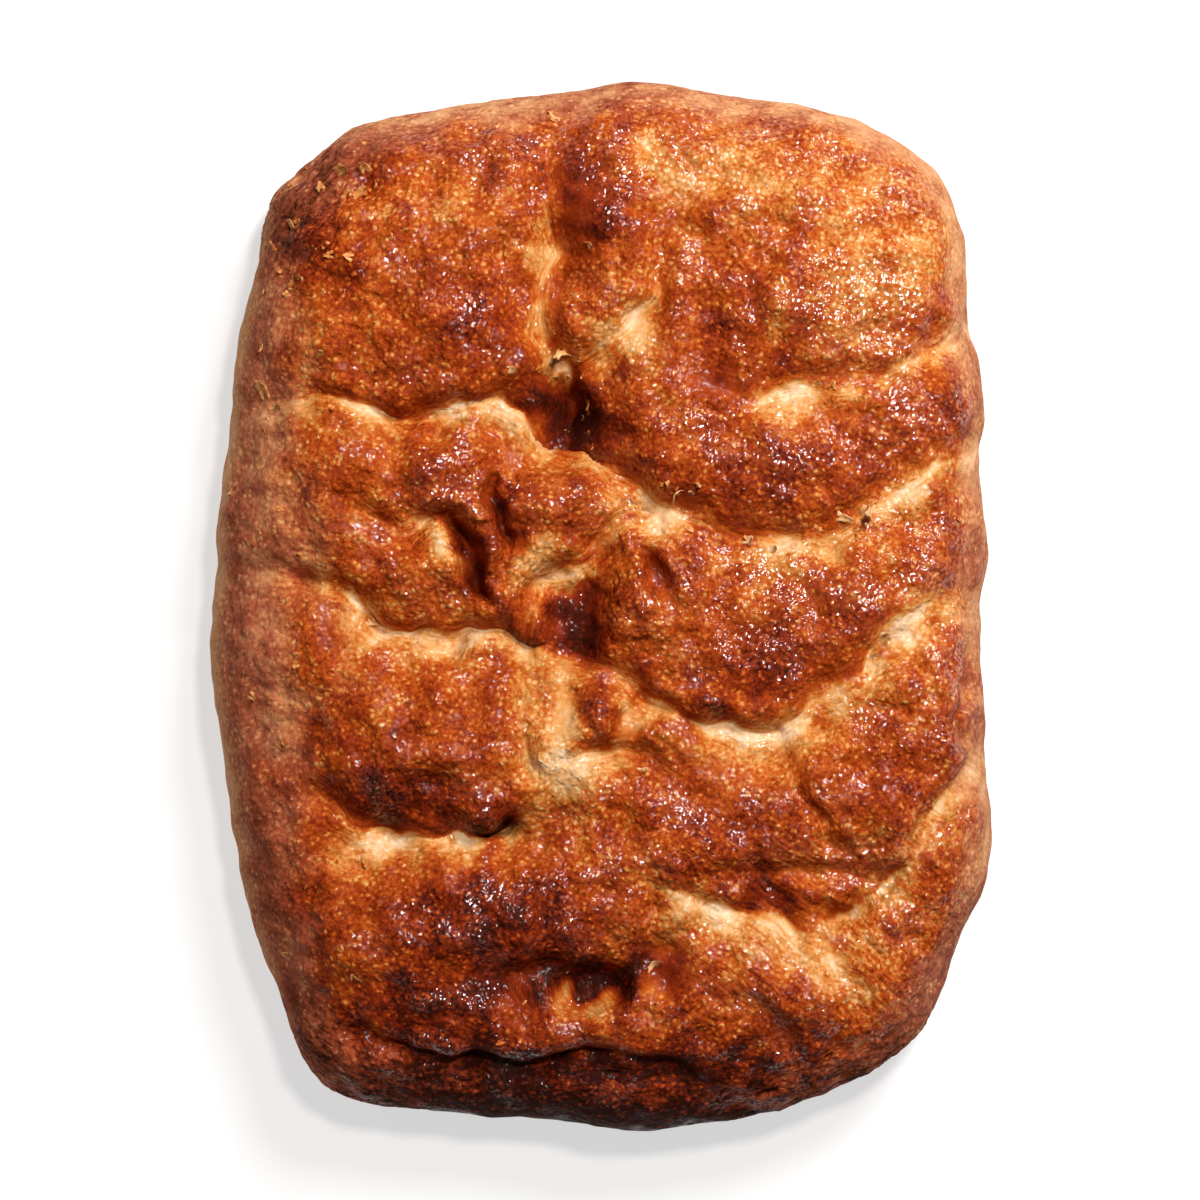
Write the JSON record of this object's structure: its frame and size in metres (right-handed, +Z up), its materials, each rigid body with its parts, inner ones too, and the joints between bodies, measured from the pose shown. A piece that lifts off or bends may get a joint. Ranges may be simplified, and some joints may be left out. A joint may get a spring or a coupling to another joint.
{
  "type": "sourdough focaccia",
  "caption": "Puffy, browned sourdough focaccia loaf with finger dimples, torn folds and a flat base, to lie on a board or plate.",
  "frame": {"origin": "middle of the loaf's box, on the plane it rests on", "axes": "+Z up from the flat base, +Y along the longer side towards the end at the top of the picture, +X to the picture's right"},
  "size_m": [0.2028, 0.272, 0.0503],
  "materials": {
    "crust": "browned bread crust brushed with oil, glossy on the lobes and dry in the folds"
  },
  "bodies": {
    "root": {"focaccia": "crust"}
  },
  "joints": []
}
